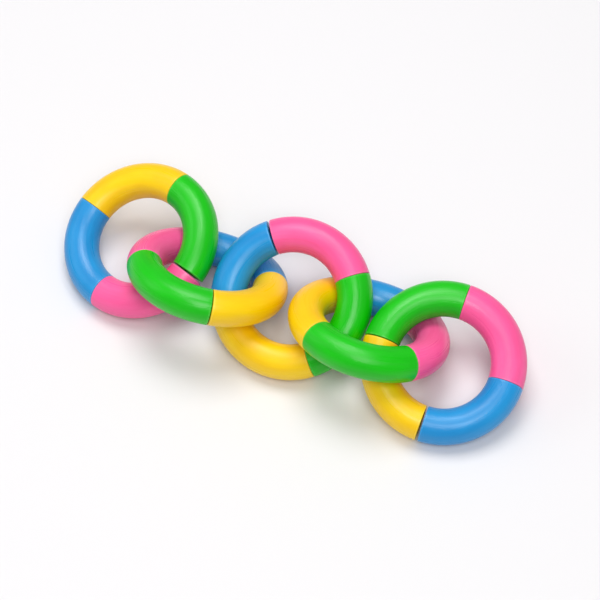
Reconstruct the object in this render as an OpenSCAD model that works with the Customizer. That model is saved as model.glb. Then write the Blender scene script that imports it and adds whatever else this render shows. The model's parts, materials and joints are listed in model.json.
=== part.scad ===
// Chain of five linked rings, each made of four quarter bends that plug together and swivel.
// Every bend is one moulding: a round bar bent through a quarter turn, with a blind socket
// in its first end face and a split snap plug on its second.
// The chain lies slack on a flat surface at z = 0.

/* [Bend] */
// Diameter of the round bar that each bend is made of
bar_d = 12; // [11:0.5:12]
// Radius of the bend, from the middle of the ring to the middle of the bar
bend_r = 21.5; // [21.5:0.5:22]

/* [Snap plug and socket] */
// Diameter of the plug's shank
plug_d = 7.4; // [7:0.1:7.6]
// How far the plug stands out of its end face
plug_len = 6; // [5.5:0.1:6.5]
// Diameter of the bead round the plug
bead_d = 8; // [7.9:0.1:8.2]
// Diameter of the hole down the middle of the plug
core_d = 3.6; // [3:0.2:4]
// Width of the two slots that split the plug into four prongs
slot_w = 1; // [0.8:0.1:1.2]
// Running clearance all round the plug, on the radius
fit_gap = 0.05; // [0.03:0.01:0.08]
// Depth of the socket
socket_depth = 7; // [6.8:0.1:7.5]

/* [Gaps between end faces] */
// Gap at a joint that is pushed home
snug_gap = 0.1; // [0.1:0.05:0.2]
// Gap at a joint that stands slightly apart
slack_gap = 0.3; // [0.2:0.05:0.4]
// Gap at the joint where a ring opens
open_gap = 0.7; // [0.6:0.05:0.8]

/* [Hidden] */
COLOURS = ["yellow", "blue", "pink", "green"];
PAINT = ["#f5c518", "#3f9bdc", "#fb6ba3", "#36c72b"];

// One row for each ring as it lies in the chain, from the left end to the right end:
// place along and across the chain, lean to the front, dip to the right,
// whether it lies face down, and the turn that brings its yellow bend round.
RINGS = [
    [-56.0, 0.5, 21.5, -9, false, 73],
    [-28.0, -4.5, -30.5, 0.5, false, 296],
    [1.0, 0.0, 28.5, 2, true, 50],
    [29.5, 0.0, -29, 1.5, true, 123],
    [56.5, 0.0, 20, 8.5, false, 187],
];

// The four joints of a ring, numbered by the bend before them in the order of COLOURS.
YELLOW_BLUE = 0;
BLUE_PINK = 1;
PINK_GREEN = 2;
GREEN_YELLOW = 3;

// The joint where each ring opens, and the joint of a ring that stands slightly apart.
OPENS_AT = [PINK_GREEN, BLUE_PINK, BLUE_PINK, BLUE_PINK, YELLOW_BLUE];
SLACK_AT = [undef, GREEN_YELLOW, undef, undef, GREEN_YELLOW];

BENDS = len(COLOURS);
QUARTER = 360 / BENDS;

$fn = 96;
bar_r = bar_d / 2;
plug_r = plug_d / 2;
bead_r = bead_d / 2;
socket_r = plug_r + fit_gap;
bead_from = 3.4;
bead_to = 4.8;
bead_flank = bead_r - plug_r;
bead_play = 0.35;
tip_bevel = 0.5;
plug_root = 1.5;
core_from = -0.5;
slot_from = 1;
seat_depth = 1;
CUT = 1;

// Unit normal of a ring that leans and dips.
function ring_normal(ring) =
    let (lean = ring[2], dip = ring[3]) [cos(lean) * sin(dip), -sin(lean), cos(lean) * cos(dip)];

// How far a ring reaches from its middle along axis 0, 1 or 2.
function ring_reach(ring, axis) = bend_r * sqrt(1 - pow(ring_normal(ring)[axis], 2)) + bar_r;

// Each ring rests with its lowest edge on the surface, so its height follows from its lean.
function ring_height(ring) = ring_reach(ring, 2);

function lowest(axis) = min([for (ring = RINGS) ring[axis] - ring_reach(ring, axis)]);
function highest(axis) = max([for (ring = RINGS) ring[axis] + ring_reach(ring, axis)]);
function middle(axis) = (lowest(axis) + highest(axis)) / 2;

// Gap between a ring's bend number i and the next one.
function gap_after(ring_no, i) =
    i == OPENS_AT[ring_no] ? open_gap : i == SLACK_AT[ring_no] ? slack_gap : snug_gap;

// The part of a turn that a length takes up along the middle of the bar.
function turn_of(length) = length / bend_r * 180 / PI;

// Carries a shape drawn along +Z at the origin to a joint of the ring, pointing along the bar.
module at_joint(angle) {
    rotate([0, 0, angle])
        translate([bend_r, 0, 0])
            rotate([-90, 0, 0])
                children();
}

// A length of the ring between two angles, solid and round.
module arc(from, to, radius) {
    rotate([0, 0, from])
        rotate_extrude(angle = to - from)
            translate([bend_r, 0])
                circle(r = radius);
}

// Snap plug: a shank with a bead and a bevelled tip, split crosswise into four prongs.
module plug() {
    difference() {
        rotate_extrude()
            polygon([
                [0, -plug_root], [plug_r, -plug_root],
                [plug_r, bead_from], [bead_r, bead_from + bead_flank],
                [bead_r, bead_to - bead_flank], [plug_r, bead_to],
                [plug_r, plug_len - tip_bevel], [plug_r - tip_bevel, plug_len], [0, plug_len],
            ]);
        translate([0, 0, core_from])
            cylinder(h = plug_len - core_from + CUT, d = core_d);
        for (turn = [45, 135])
            rotate([0, 0, turn])
                translate([-bar_r, -slot_w / 2, slot_from])
                    cube([bar_d, slot_w, plug_len]);
    }
}

// Socket: a straight bore with a groove inside that the bead snaps into.
module socket() {
    translate([0, 0, -CUT])
        cylinder(h = socket_depth + CUT, r = socket_r);
    groove_r = bead_r + fit_gap;
    groove_flank = groove_r - socket_r;
    rotate_extrude()
        polygon([
            [0, bead_from - bead_play], [socket_r, bead_from - bead_play],
            [groove_r, bead_from - bead_play + groove_flank],
            [groove_r, bead_to + bead_play - groove_flank],
            [socket_r, bead_to + bead_play], [0, bead_to + bead_play],
        ]);
}

// One quarter bend, from angle 0 to a quarter turn, less half a gap at each end.
// Where the ring opens, the plug is left off and only a shallow seat is cut in its place,
// so that the bend can swing clear of the one it faces.
module bend(gap_before, gap_behind, plugged) {
    start = turn_of(gap_before / 2);
    end = QUARTER - turn_of(gap_behind / 2);
    difference() {
        union() {
            arc(start, end, bar_r);
            if (plugged)
                at_joint(QUARTER)
                    translate([0, 0, -gap_behind / 2])
                        plug();
        }
        at_joint(0)
            translate([0, 0, gap_before / 2])
                socket();
        if (!plugged)
            at_joint(QUARTER)
                translate([0, 0, -gap_behind / 2 - seat_depth])
                    cylinder(h = seat_depth + CUT, r = socket_r);
    }
}

// Carries a ring drawn flat at the origin to its place in the chain.
module place_ring(ring) {
    translate([ring[0] - middle(0), ring[1] - middle(1), ring_height(ring)])
        rotate([0, ring[3], 0])
            rotate([ring[2], 0, 0])
                rotate([ring[4] ? 180 : 0, 0, 0])
                    rotate([0, 0, ring[5]])
                        children();
}

// One bend of one ring, where it lies in the chain.
module ring_bend(ring_no, i) {
    color(PAINT[i])
        place_ring(RINGS[ring_no])
            rotate([0, 0, i * QUARTER])
                bend(
                    gap_after(ring_no, (i + BENDS - 1) % BENDS),
                    gap_after(ring_no, i),
                    i != OPENS_AT[ring_no]
                );
}

for (ring_no = [0:len(RINGS) - 1])
    for (i = [0:BENDS - 1])
        ring_bend(ring_no, i);
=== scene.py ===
"""A slack chain of linked toy rings lying on a pale table.

Each ring is closed from four quarter-circle bends of round bar that snap together and swivel. The
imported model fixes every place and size. This script works each ring's circle out from its swivel
joints, measures each bend, and rebuilds it as a fine moulding with rounded rims, a grooved socket
and a split snap plug, in semi-gloss plastic.
"""

import json
import logging
import math
from collections.abc import Sequence
from dataclasses import dataclass
from enum import Enum

import bmesh
import bpy
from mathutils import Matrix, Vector

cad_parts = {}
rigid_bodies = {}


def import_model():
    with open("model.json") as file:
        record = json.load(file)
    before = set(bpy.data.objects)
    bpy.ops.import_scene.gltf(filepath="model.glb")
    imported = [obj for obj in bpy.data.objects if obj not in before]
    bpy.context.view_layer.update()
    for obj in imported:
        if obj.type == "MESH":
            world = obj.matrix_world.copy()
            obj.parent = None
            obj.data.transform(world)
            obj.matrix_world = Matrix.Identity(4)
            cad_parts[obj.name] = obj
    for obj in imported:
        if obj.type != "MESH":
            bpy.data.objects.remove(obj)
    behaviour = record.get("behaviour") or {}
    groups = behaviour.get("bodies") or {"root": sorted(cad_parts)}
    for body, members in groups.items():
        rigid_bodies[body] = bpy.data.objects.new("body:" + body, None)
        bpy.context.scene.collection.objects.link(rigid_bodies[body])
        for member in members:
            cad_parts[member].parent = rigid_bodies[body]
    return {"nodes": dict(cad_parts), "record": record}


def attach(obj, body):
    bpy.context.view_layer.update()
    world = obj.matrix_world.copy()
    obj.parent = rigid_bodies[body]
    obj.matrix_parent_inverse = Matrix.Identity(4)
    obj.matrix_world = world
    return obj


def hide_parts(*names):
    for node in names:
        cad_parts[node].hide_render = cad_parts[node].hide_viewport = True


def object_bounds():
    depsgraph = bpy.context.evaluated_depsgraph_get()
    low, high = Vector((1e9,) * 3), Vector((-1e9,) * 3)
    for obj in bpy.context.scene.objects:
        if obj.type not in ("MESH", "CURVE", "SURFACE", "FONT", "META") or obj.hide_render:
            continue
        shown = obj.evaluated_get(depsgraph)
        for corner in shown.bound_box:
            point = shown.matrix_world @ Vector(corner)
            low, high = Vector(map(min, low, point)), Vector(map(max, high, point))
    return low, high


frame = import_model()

CAD_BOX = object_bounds()
LOG = logging.getLogger("ring_chain")
MM = 0.001
QUARTER = math.pi / 2
RGB = tuple[float, float, float]

# A packed point this share of the bar's radius from its middle lies on the bar's outside.
SKIN_SHARE = 0.99
# A bend that reaches further than this past its end face has its plug.
PLUG_SIGN = 2.0 * MM
# How far the surface pattern moves on from one bend to the next, in its own millimetres.
PATTERN_STEP = 100.0
# Faces that meet at a sharper angle than this keep a hard edge.
HARD_EDGE = math.radians(35)


class Colour(Enum):
    """The four bend colours, in the order they follow each other round every ring."""

    YELLOW = 0
    BLUE = 1
    PINK = 2
    GREEN = 3

    @property
    def word(self) -> str:
        """The colour's plain name."""
        return self.name.lower()

    def after(self) -> "Colour":
        """The colour whose socket this bend plugs into."""
        return Colour((self.value + 1) % len(Colour))


def linear(colour: RGB) -> tuple[float, float, float, float]:
    """Turns a screen colour into the linear colour that shaders use.

    Args:
        colour: Red, green and blue as they look on a screen, from 0 to 1.

    Returns:
        Linear red, green and blue, with alpha 1.
    """
    made = [c / 12.92 if c <= 0.04045 else ((c + 0.055) / 1.055) ** 2.4 for c in colour]
    return (made[0], made[1], made[2], 1.0)


class ShaderBench:
    """A material under construction, with short calls for adding and wiring nodes."""

    def __init__(self, name: str) -> None:
        """Starts an empty node material of that name."""
        self.material = bpy.data.materials.new(name)
        self.material.use_nodes = True
        self.nodes = self.material.node_tree.nodes
        self.links = self.material.node_tree.links
        self.nodes.clear()

    def add(self, kind: str, **settings: object) -> bpy.types.Node:
        """Adds a node.

        Args:
            kind: The node's type name.
            **settings: Attributes to set on the node.

        Returns:
            The new node.
        """
        node = self.nodes.new(kind)
        for key, value in settings.items():
            setattr(node, key, value)
        return node

    def wire(self, source: bpy.types.NodeSocket, target: bpy.types.NodeSocket) -> None:
        """Links an output socket to an input socket."""
        self.links.new(source, target)

    def ramp(
        self, value: bpy.types.NodeSocket, span: tuple[float, float], to: tuple[float, float]
    ) -> bpy.types.NodeSocket:
        """Maps a value smoothly from one range to another.

        Args:
            value: The output socket to read.
            span: The range read.
            to: The range given out.

        Returns:
            The mapped value's output socket.
        """
        node = self.add("ShaderNodeMapRange", interpolation_type="SMOOTHSTEP")
        node.inputs["From Min"].default_value, node.inputs["From Max"].default_value = span
        node.inputs["To Min"].default_value, node.inputs["To Max"].default_value = to
        self.wire(value, node.inputs["Value"])
        return node.outputs["Result"]

    def noise(
        self, place: bpy.types.NodeSocket, stretch: RGB, scale: float, detail: float
    ) -> bpy.types.NodeSocket:
        """Adds noise that is stretched along an axis.

        Args:
            place: The vector that says where on the piece a point is.
            stretch: How much each axis of that vector counts.
            scale: Noise scale, per millimetre.
            detail: Number of octaves.

        Returns:
            The noise value's output socket.
        """
        mapping = self.add("ShaderNodeMapping")
        mapping.inputs["Scale"].default_value = stretch
        self.wire(place, mapping.inputs["Vector"])
        node = self.add("ShaderNodeTexNoise")
        node.inputs["Scale"].default_value = scale
        node.inputs["Detail"].default_value = detail
        self.wire(mapping.outputs["Vector"], node.inputs["Vector"])
        return node.outputs["Fac"]

    def blend(self, amount: bpy.types.NodeSocket, first: object, second: object) -> bpy.types.NodeSocket:
        """Mixes two colours.

        Args:
            amount: Output socket with the share of the second colour.
            first: A colour, or an output socket that gives one.
            second: A colour, or an output socket that gives one.

        Returns:
            The mixed colour's output socket.
        """
        node = self.add("ShaderNodeMix", data_type="RGBA")
        self.wire(amount, node.inputs[0])
        for socket, value in ((node.inputs[6], first), (node.inputs[7], second)):
            if isinstance(value, bpy.types.NodeSocket):
                self.wire(value, socket)
            else:
                socket.default_value = value
        return node.outputs[2]

    def times(self, first: bpy.types.NodeSocket, second: bpy.types.NodeSocket) -> bpy.types.NodeSocket:
        """Multiplies two values."""
        node = self.add("ShaderNodeMath", operation="MULTIPLY")
        self.wire(first, node.inputs[0])
        self.wire(second, node.inputs[1])
        return node.outputs["Value"]

    def bump(
        self, height: bpy.types.NodeSocket, depth: float, under: bpy.types.NodeSocket | None = None
    ) -> bpy.types.NodeSocket:
        """Adds a bump.

        Args:
            height: The height, from 0 to 1.
            depth: What a height of 1 stands for, in metres.
            under: A bumped normal to build on.

        Returns:
            The normal's output socket.
        """
        node = self.add("ShaderNodeBump")
        node.inputs["Strength"].default_value = 1.0
        node.inputs["Distance"].default_value = depth
        self.wire(height, node.inputs["Height"])
        if under is not None:
            self.wire(under, node.inputs["Normal"])
        return node.outputs["Normal"]

    def surface(
        self, colour: object, roughness: object, normal: bpy.types.NodeSocket | None
    ) -> bpy.types.Node:
        """Ends the material in a principled surface.

        Args:
            colour: A colour or an output socket.
            roughness: A number or an output socket.
            normal: A bumped normal, or None.

        Returns:
            The principled node, for its constant settings.
        """
        shader = self.add("ShaderNodeBsdfPrincipled")
        for name, value in (("Base Color", colour), ("Roughness", roughness), ("Normal", normal)):
            if isinstance(value, bpy.types.NodeSocket):
                self.wire(value, shader.inputs[name])
            elif value is not None:
                shader.inputs[name].default_value = value
        output = self.add("ShaderNodeOutputMaterial")
        self.wire(shader.outputs["BSDF"], output.inputs["Surface"])
        return shader


@dataclass(frozen=True)
class PlasticFinish:
    """Semi-gloss moulded plastic, drawn lengthwise by the mould, with a painted highlight that lightens the
    rims of the end faces.
    """

    name: str
    body: RGB
    deep: RGB
    # The paler colour painted on the rims as a highlight.
    rubbed: RGB
    polished: float = 0.26
    dull: float = 0.46
    index: float = 1.45
    coat: float = 0.06
    coat_roughness: float = 0.25
    # How strong the painted rim highlight is, and how far in from the rims it reaches.
    wear: float = 0.35
    wear_reach: float = 0.5
    streak_depth: float = 0.10 * MM
    scuff_depth: float = 0.05 * MM
    grain_depth: float = 0.016 * MM

    def make(self) -> bpy.types.Material:
        """Builds the material.

        Returns:
            The node material. It reads the vectors and numbers that BendMoulding stores on each point.
        """
        bench = ShaderBench(self.name)
        place = bench.add("ShaderNodeAttribute", attribute_name="unrolled").outputs["Vector"]
        rim = bench.add("ShaderNodeAttribute", attribute_name="rim_distance").outputs["Fac"]
        clouds = bench.noise(place, stretch=(0.35, 1.0, 1.0), scale=0.16, detail=3.0)
        streaks = bench.noise(place, stretch=(0.05, 1.0, 1.0), scale=0.75, detail=4.0)
        grain = bench.noise(place, stretch=(0.25, 1.0, 1.0), scale=5.0, detail=3.0)
        scuffs = bench.noise(place, stretch=(0.7, 1.0, 1.0), scale=0.9, detail=5.0)

        cloud_share = bench.ramp(clouds, span=(0.35, 0.7), to=(0.0, 0.55))
        cloudy = bench.blend(cloud_share, linear(self.body), linear(self.deep))
        streak_share = bench.ramp(streaks, span=(0.45, 0.75), to=(0.0, 0.30))
        drawn = bench.blend(streak_share, cloudy, linear(self.deep))
        # Painted highlight: the colour turns paler towards the end faces' rounded rims, broken up by the
        # scuff noise.
        near_rim = bench.ramp(rim, span=(0.0, self.wear_reach), to=(self.wear, 0.0))
        rim_highlight_mask = bench.times(near_rim, bench.ramp(scuffs, span=(0.35, 0.65), to=(0.35, 1.0)))
        colour = bench.blend(rim_highlight_mask, drawn, linear(self.rubbed))

        roughness = bench.ramp(streaks, span=(0.3, 0.7), to=(self.polished, self.dull))
        waves = bench.bump(streaks, self.streak_depth)
        dimples = bench.bump(scuffs, self.scuff_depth, waves)
        fine = bench.bump(grain, self.grain_depth, dimples)
        shader = bench.surface(colour, roughness, fine)
        shader.inputs["IOR"].default_value = self.index
        shader.inputs["Coat Weight"].default_value = self.coat
        shader.inputs["Coat Roughness"].default_value = self.coat_roughness
        return bench.material


@dataclass(frozen=True)
class TableFinish:
    """Matt white table board."""

    name: str = "table_white"
    body: RGB = (0.905, 0.899, 0.905)
    roughness: float = 0.7

    def make(self) -> bpy.types.Material:
        """Builds the material.

        Returns:
            The node material.
        """
        bench = ShaderBench(self.name)
        bench.surface(linear(self.body), self.roughness, None)
        return bench.material


FINISHES = {
    # The third colour of each plastic is the painted highlight on its rims.
    Colour.YELLOW: PlasticFinish(
        "yellow_plastic", body=(0.980, 0.812, 0.000), deep=(0.940, 0.735, 0.000), rubbed=(0.985, 0.860, 0.330)
    ),
    Colour.BLUE: PlasticFinish(
        "blue_plastic", body=(0.100, 0.585, 0.845), deep=(0.050, 0.500, 0.765), rubbed=(0.420, 0.720, 0.930)
    ),
    Colour.PINK: PlasticFinish(
        "pink_plastic", body=(0.990, 0.375, 0.630), deep=(0.950, 0.305, 0.550), rubbed=(0.990, 0.560, 0.730)
    ),
    Colour.GREEN: PlasticFinish(
        "green_plastic", body=(0.040, 0.762, 0.010), deep=(0.010, 0.680, 0.003), rubbed=(0.420, 0.860, 0.360)
    ),
}


@dataclass
class RingCircle:
    """The circle that the middle of a ring's bar follows, with angle 0 where its yellow bend starts."""

    number: int
    centre: Vector
    normal: Vector
    start: Vector
    radius: float

    @classmethod
    def from_joints(cls, number: int, joints: Sequence[dict]) -> "RingCircle":
        """Works a ring's circle out from its three swivels.

        Args:
            number: The ring's number, from 1 at the left end.
            joints: The record's joints.

        Returns:
            The circle. A swivel and the one opposite lie at the ends of a diameter, and a ring has
            just one such pair, because its fourth joint is where it opens.
        """
        places: dict[Colour, Vector] = {}
        for joint in joints:
            for colour in Colour:
                one, two = f"ring{number}_{colour.word}", f"ring{number}_{colour.after().word}"
                if {joint["parent"], joint["child"]} == {one, two}:
                    places[colour] = Vector(joint["pos_m"])
        pairs = [(c, Colour(c.value + 2)) for c in (Colour.YELLOW, Colour.BLUE)]
        first, second = next(pair for pair in pairs if pair[0] in places and pair[1] in places)
        centre = (places[first] + places[second]) / 2
        for missing in set(Colour) - set(places):
            opposite = Colour((missing.value + 2) % len(Colour))
            places[missing] = 2 * centre - places[opposite]
        start = places[Colour.GREEN] - centre
        normal = start.cross(places[Colour.YELLOW] - centre).normalized()
        return cls(number, centre, normal, start.normalized(), start.length)

    def spoke(self, angle: float) -> Vector:
        """The unit vector from the centre towards that angle."""
        return self.start * math.cos(angle) + self.normal.cross(self.start) * math.sin(angle)

    def along(self, angle: float) -> Vector:
        """The unit vector along the bar at that angle."""
        return self.normal.cross(self.spoke(angle))

    def turn_of(self, length: float) -> float:
        """The angle that a length takes up along the middle of the bar."""
        return length / self.radius

    def measure(self, point: Vector) -> tuple[float, float]:
        """Places a point relative to the bar.

        Args:
            point: A point in the row frame.

        Returns:
            Its angle round the ring, and its distance from the middle of the bar.
        """
        arm = point - self.centre
        angle = math.atan2(arm.dot(self.along(0.0)), arm.dot(self.start))
        flat = math.hypot(arm.dot(self.start), arm.dot(self.along(0.0)))
        return angle, math.hypot(flat - self.radius, arm.dot(self.normal))


@dataclass
class BendFit:
    """How one bend sits in its ring: where its two end faces are and whether its plug is in."""

    start: float
    end: float
    plugged: bool

    @classmethod
    def from_node(cls, circle: RingCircle, colour: Colour, bar_r: float) -> "BendFit":
        """Measures a bend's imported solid.

        Args:
            circle: The circle of the bend's ring.
            colour: The bend's colour.
            bar_r: The bar's radius.

        Returns:
            The bend's end faces, as angles from its own first joint.
        """
        node = frame["nodes"][f"ring{circle.number}_{colour.word}_bend"]
        middle = (colour.value + 0.5) * QUARTER
        skin: list[float] = []
        furthest = 0.0
        for vertex in node.data.vertices:
            angle, distance = circle.measure(node.matrix_world @ vertex.co)
            turn = (angle - middle + math.pi) % math.tau - math.pi + QUARTER / 2
            furthest = max(furthest, turn)
            if distance > SKIN_SHARE * bar_r:
                skin.append(turn)
        end = max(skin)
        return cls(min(skin), end, furthest > end + circle.turn_of(PLUG_SIGN))


@dataclass
class Loop:
    """A closed ring of mesh points, at one place along a bend."""

    points: list[bmesh.types.BMVert]


@dataclass
class BendMoulding:
    """One quarter bend: a round bar with a grooved socket in one end and a split plug on the other."""

    circle: RingCircle
    colour: Colour
    fit: BendFit
    bar_r: float = 6.0 * MM
    rim_round: float = 0.2 * MM
    socket_r: float = 3.75 * MM
    socket_depth: float = 7.0 * MM
    mouth_bevel: float = 0.2 * MM
    groove_r: float = 4.0 * MM
    groove_from: float = 3.05 * MM
    groove_to: float = 5.15 * MM
    plug_r: float = 3.7 * MM
    bead_r: float = 4.0 * MM
    bead_from: float = 3.4 * MM
    bead_to: float = 4.8 * MM
    plug_len: float = 6.0 * MM
    tip_bevel: float = 0.5 * MM
    core_r: float = 1.8 * MM
    core_depth: float = 0.5 * MM
    slot_half: float = 0.5 * MM
    slot_floor: float = 1.0 * MM
    seat_depth: float = 1.0 * MM
    # A rim distance great enough that these points get none of the painted rim highlight.
    unworn: float = 3.0 * MM
    slot_steps: int = 2
    prong_steps: int = 20
    arc_steps: int = 48
    rim_steps: int = 5

    def __post_init__(self) -> None:
        """Starts the mesh and its two point attributes."""
        self.mesh = bmesh.new()
        self.unrolled = self.mesh.verts.layers.float_vector.new("unrolled")
        self.rim = self.mesh.verts.layers.float.new("rim_distance")
        self.first_joint = self.colour.value * QUARTER

    @property
    def name(self) -> str:
        """The piece's name."""
        return f"ring{self.circle.number}_{self.colour.word}_moulding"

    def clock(self, radius: float) -> list[float]:
        """The angles round the bar of a loop's points, with points on the slots' walls.

        Args:
            radius: The radius at which the slots' walls are met, or the bar's, for even spacing.

        Returns:
            One angle for each point, from the first slot on.
        """
        even = QUARTER * self.slot_steps / (2 * self.slot_steps + self.prong_steps)
        half = math.asin(self.slot_half / radius) if radius < self.bead_r + 0.01 * MM else even
        angles: list[float] = []
        for quarter in range(4):
            base = (quarter + 0.5) * QUARTER
            angles += [base + half * i / self.slot_steps for i in range(self.slot_steps)]
            prong = QUARTER - 2 * half
            angles += [base + half + prong * i / self.prong_steps for i in range(self.prong_steps)]
            angles += [base + QUARTER - half + half * i / self.slot_steps for i in range(self.slot_steps)]
        return angles

    def point(
        self, centre: Vector, spoke: Vector, radius: float, clock: float, run: float, rim: float
    ) -> bmesh.types.BMVert:
        """Adds one mesh point.

        Args:
            centre: The middle of the bar there.
            spoke: The unit vector outwards from the ring.
            radius: The distance from the middle of the bar.
            clock: The angle round the bar.
            run: The distance along the bend.
            rim: The distance from the nearest outside rim.

        Returns:
            The new mesh point, with its attributes set.
        """
        out, up = radius * math.cos(clock), radius * math.sin(clock)
        vert = self.mesh.verts.new(centre + spoke * out + self.circle.normal * up)
        piece_shift = PATTERN_STEP * (self.circle.number * len(Colour) + self.colour.value)
        vert[self.unrolled] = Vector((run / MM + piece_shift, out / MM, up / MM))
        vert[self.rim] = rim / MM
        return vert

    def arc_loop(self, turn: float, radius: float, rim: float) -> Loop:
        """Adds a loop square to the bend.

        Args:
            turn: The angle from the bend's first joint.
            radius: The loop's radius.
            rim: The distance from the nearest outside rim.

        Returns:
            The loop.
        """
        spoke = self.circle.spoke(self.first_joint + turn)
        centre = self.circle.centre + spoke * self.circle.radius
        run = turn * self.circle.radius
        return Loop([self.point(centre, spoke, radius, a, run, rim) for a in self.clock(self.bar_r)])

    def straight_loop(
        self, turn: float, out: float, radius: float, rim: float, clock_r: float | None = None
    ) -> Loop:
        """Adds a loop on the straight axis through an end face.

        Args:
            turn: The end face's angle from the bend's first joint.
            out: The distance from the end face, along the bar.
            radius: The loop's radius.
            rim: The distance from the nearest outside rim.
            clock_r: The radius that sets the points' spacing.

        Returns:
            The loop.
        """
        joint = 0.0 if turn < QUARTER / 2 else QUARTER
        spoke = self.circle.spoke(self.first_joint + joint)
        along = self.circle.along(self.first_joint + joint)
        reach = (turn - joint) * self.circle.radius + out
        centre = self.circle.centre + spoke * self.circle.radius + along * reach
        run = turn * self.circle.radius + out
        clock = self.clock(clock_r or self.bar_r)
        return Loop([self.point(centre, spoke, radius, a, run, rim) for a in clock])

    def patch(self, one: Loop, two: Loop, i: int) -> None:
        """Adds the face between two loops that starts at their point number i."""
        j = (i + 1) % len(one.points)
        self.mesh.faces.new((one.points[i], one.points[j], two.points[j], two.points[i]))

    def skin(self, loops: Sequence[Loop]) -> None:
        """Joins each loop to the next with a band of faces."""
        for one, two in zip(loops, loops[1:]):
            for i in range(len(one.points)):
                self.patch(one, two, i)

    def rim_loops(self, face: float, inwards: int) -> list[Loop]:
        """Adds the rounded rim between an end face and the outside skin.

        Args:
            face: The end face's angle from the bend's first joint.
            inwards: 1 if the bend lies at greater angles than the face, and -1 if at smaller.

        Returns:
            The loops, from the flat of the face to the skin.
        """
        loops = []
        for step in range(self.rim_steps + 1):
            lean = QUARTER * step / self.rim_steps
            back = self.rim_round * (1 - math.cos(lean))
            radius = self.bar_r - self.rim_round * (1 - math.sin(lean))
            loops.append(self.arc_loop(face + inwards * self.circle.turn_of(back), radius, 0.0))
        return loops

    def socket_loops(self) -> list[Loop]:
        """Adds the blind socket, from its floor out to the mouth.

        Returns:
            The loops, in that order.
        """
        start = self.fit.start
        flank = self.groove_r - self.socket_r
        profile = [
            (self.socket_depth, self.socket_r),
            (self.groove_to, self.socket_r),
            (self.groove_to - flank, self.groove_r),
            (self.groove_from + flank, self.groove_r),
            (self.groove_from, self.socket_r),
            (self.mouth_bevel, self.socket_r),
            (0.0, self.socket_r + self.mouth_bevel),
        ]
        loops = [self.straight_loop(start, depth, radius, self.bar_r - radius) for depth, radius in profile]
        self.mesh.faces.new(loops[0].points)
        return loops

    def plug_profile(self) -> list[tuple[float, float]]:
        """The plug's outline above the slots' floor.

        Returns:
            Pairs of distance from the end face and radius.
        """
        flank = self.bead_r - self.plug_r
        return [
            (self.bead_from, self.plug_r),
            (self.bead_from + flank, self.bead_r),
            (self.bead_to - flank, self.bead_r),
            (self.bead_to, self.plug_r),
            (self.plug_len - self.tip_bevel, self.plug_r),
            (self.plug_len, self.plug_r - self.tip_bevel),
        ]

    def add_plug(self) -> Loop:
        """Adds the split plug.

        Returns:
            The loop where the plug's root meets the end face.
        """
        end = self.fit.end
        root = self.straight_loop(end, 0.0, self.plug_r, self.bar_r - self.plug_r, self.plug_r)
        outer = self.straight_loop(end, self.slot_floor, self.plug_r, self.unworn, self.plug_r)
        inner = self.straight_loop(end, self.slot_floor, self.core_r, self.unworn, self.core_r)
        bottom = self.straight_loop(end, -self.core_depth, self.core_r, self.unworn, self.core_r)
        self.skin([root, outer])
        self.skin([inner, bottom])
        self.mesh.faces.new(bottom.points)
        levels = [(outer, inner)]
        for out, radius in self.plug_profile():
            outside = self.straight_loop(end, out, radius, self.unworn, self.plug_r)
            inside = self.straight_loop(end, out, self.core_r, self.unworn, self.core_r)
            levels.append((outside, inside))
        per_quarter = len(outer.points) // 4
        for i in range(len(outer.points)):
            if not self.slot_steps <= i % per_quarter < self.slot_steps + self.prong_steps:
                self.patch(outer, inner, i)
                continue
            for low, high in zip(levels, levels[1:]):
                self.patch(low[0], high[0], i)
                self.patch(low[1], high[1], i)
            self.patch(*levels[-1], i)
        for quarter in range(4):
            for edge in (self.slot_steps, self.slot_steps + self.prong_steps):
                k = quarter * per_quarter + edge
                for low, high in zip(levels, levels[1:]):
                    self.mesh.faces.new([loop.points[k] for loop in (*low, *reversed(high))])
        return root

    def add_seat(self) -> Loop:
        """Adds the shallow seat that stands in for the plug where the ring opens.

        Returns:
            The loop where the seat's mouth meets the end face.
        """
        end = self.fit.end
        mouth = self.straight_loop(end, 0.0, self.socket_r + self.mouth_bevel, self.unworn)
        lip = self.straight_loop(end, -self.mouth_bevel, self.socket_r, self.unworn)
        floor = self.straight_loop(end, -self.seat_depth, self.socket_r, self.unworn)
        self.skin([mouth, lip, floor])
        self.mesh.faces.new(floor.points)
        return mouth

    def build(self) -> bpy.types.Object:
        """Builds the moulding's mesh.

        Returns:
            The new object, smooth shaded with its corners kept sharp.
        """
        inside = self.socket_loops()
        first_rim = self.rim_loops(self.fit.start, 1)
        last_rim = self.rim_loops(self.fit.end, -1)
        back = self.circle.turn_of(self.rim_round)
        low, high = self.fit.start + back, self.fit.end - back
        skin = []
        for step in range(1, self.arc_steps):
            turn = low + (high - low) * step / self.arc_steps
            rim = min(turn - low, high - turn) * self.circle.radius
            skin.append(self.arc_loop(turn, self.bar_r, rim))
        tail = self.add_plug() if self.fit.plugged else self.add_seat()
        self.skin([*inside, *first_rim, *skin, *reversed(last_rim), tail])
        loose = [v for v in self.mesh.verts if not v.link_faces]
        bmesh.ops.delete(self.mesh, geom=loose, context="VERTS")
        bmesh.ops.recalc_face_normals(self.mesh, faces=self.mesh.faces)
        data = bpy.data.meshes.new(self.name)
        self.mesh.to_mesh(data)
        self.mesh.free()
        data.shade_smooth()
        data.set_sharp_from_angle(angle=HARD_EDGE)
        piece = bpy.data.objects.new(self.name, data)
        bpy.context.scene.collection.objects.link(piece)
        return piece

    def dress(self, piece: bpy.types.Object, material: bpy.types.Material) -> None:
        """Gives the moulding its plastic and its body, and hides the imported bend it replaces.

        Args:
            piece: The moulding.
            material: The bend's plastic.
        """
        piece.data.materials.append(material)
        body = f"ring{self.circle.number}_{self.colour.word}"
        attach(piece, body)
        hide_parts(f"{body}_bend")
        f"{self.colour.word}_plastic"


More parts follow.
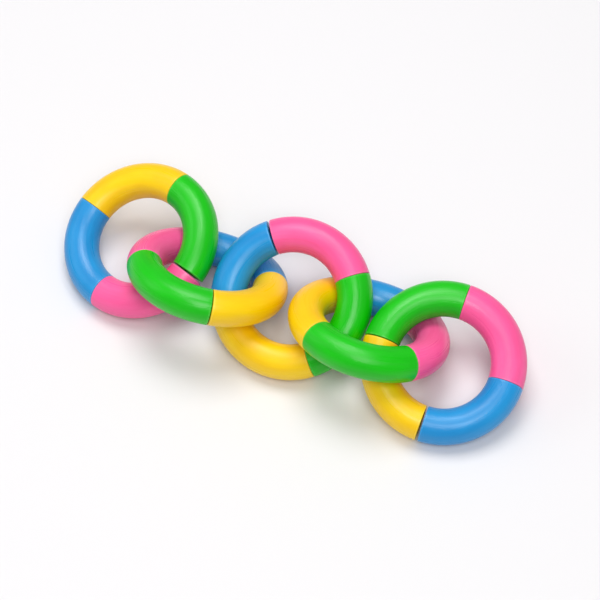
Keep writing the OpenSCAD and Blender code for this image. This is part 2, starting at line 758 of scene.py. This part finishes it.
@dataclass
class LinkedRing:
    """One ring of the chain: four bends, each plugged into the next."""

    circle: RingCircle
    plastics: dict[Colour, bpy.types.Material]

    def build(self) -> list[bpy.types.Object]:
        """Builds and dresses the ring's four bends.

        Returns:
            The four pieces.
        """
        pieces = []
        for colour in Colour:
            fit = BendFit.from_node(self.circle, colour, BendMoulding.bar_r)
            bend = BendMoulding(self.circle, colour, fit)
            piece = bend.build()
            bend.dress(piece, self.plastics[colour])
            LOG.info("%s: %d faces, plugged %s", piece.name, len(piece.data.polygons), fit.plugged)
            pieces.append(piece)
        return pieces


@dataclass
class TableTop:
    """The plain board that the chain lies on."""

    half_width: float = 3.0
    drop: float = 0.02 * MM

    def build(self) -> bpy.types.Object:
        """Builds the board as one wide sheet just under the chain.

        Returns:
            The table.
        """
        mesh = bmesh.new()
        level = CAD_BOX[0].z - self.drop
        reach = self.half_width
        corners = [(-reach, -reach), (reach, -reach), (reach, reach), (-reach, reach)]
        mesh.faces.new([mesh.verts.new((x, y, level)) for x, y in corners])
        data = bpy.data.meshes.new("table_top")
        mesh.to_mesh(data)
        mesh.free()
        data.materials.append(TableFinish().make())
        board = bpy.data.objects.new("table_top", data)
        bpy.context.scene.collection.objects.link(board)
        return board


@dataclass(frozen=True)
class SoftLight:
    """A square soft light that looks at the chain."""

    name: str
    place: RGB
    side: float
    power: float
    tint: RGB = (1.0, 1.0, 1.0)

    def build(self, aim: Vector) -> bpy.types.Object:
        """Builds the light.

        Args:
            aim: The point it looks at.

        Returns:
            The light.
        """
        data = bpy.data.lights.new(self.name, "AREA")
        data.shape = "SQUARE"
        data.size = self.side
        data.energy = self.power
        data.color = self.tint
        lamp = bpy.data.objects.new(self.name, data)
        lamp.location = self.place
        lamp.rotation_euler = (aim - lamp.location).to_track_quat("-Z", "Y").to_euler()
        bpy.context.scene.collection.objects.link(lamp)
        return lamp


@dataclass
class Studio:
    """The soft light round the chain and the camera in front of it."""

    azimuth: float = math.radians(25.6)
    elevation: float = math.radians(55.76)
    distance: float = 0.846
    lens: float = 150.5
    aim_offset: RGB = (0.00122, 0.00688, -0.00888)
    sky: float = 0.33
    lights: tuple[SoftLight, ...] = (
        SoftLight("overhead_softbox", (-0.15, 0.20, 1.00), 0.55, 6.1),
        SoftLight("front_softbox", (0.35, -0.55, 1.15), 0.55, 7.2),
        SoftLight("window_fill", (-0.90, -0.30, 0.60), 0.60, 1.4, (0.97, 0.98, 1.0)),
    )

    def build(self) -> None:
        """Builds the camera, the lights and the pale surroundings."""
        scene = bpy.context.scene
        middle = (CAD_BOX[0] + CAD_BOX[1]) / 2
        aim = middle + Vector(self.aim_offset)
        level = math.cos(self.elevation)
        side, front = math.sin(self.azimuth) * level, math.cos(self.azimuth) * level
        back = Vector((side, -front, math.sin(self.elevation)))
        data = bpy.data.cameras.new("front_camera")
        data.lens = self.lens
        data.clip_start = 0.01
        camera = bpy.data.objects.new("front_camera", data)
        camera.location = aim + back * self.distance
        camera.rotation_euler = (-back).to_track_quat("-Z", "Y").to_euler()
        scene.collection.objects.link(camera)
        scene.camera = camera
        for light in self.lights:
            light.build(middle)
            LOG.info("%s: %.1f W", light.name, light.power)
        world = bpy.data.worlds.new("pale_room")
        world.use_nodes = True
        background = world.node_tree.nodes["Background"]
        background.inputs["Color"].default_value = (1.0, 1.0, 1.0, 1.0)
        background.inputs["Strength"].default_value = self.sky
        scene.world = world
        scene.view_settings.view_transform = "Standard"


def main() -> None:
    """Builds the studio, the table and the five rings, in that order."""
    logging.basicConfig(level=logging.INFO, format="%(message)s")
    Studio().build()
    board = TableTop().build()
    LOG.info("%s: %.1f m wide", board.name, 2 * TableTop.half_width)
    plastics = {colour: finish.make() for colour, finish in FINISHES.items()}
    joints = frame["record"]["behaviour"]["joints"]
    rings = len(frame["nodes"]) // len(Colour)
    for number in range(1, rings + 1):
        circle = RingCircle.from_joints(number, joints)
        pieces = LinkedRing(circle, plastics).build()
        LOG.info("ring %d: %d bends, radius %.2f mm", number, len(pieces), circle.radius / MM)


if __name__ == "__main__":
    main()
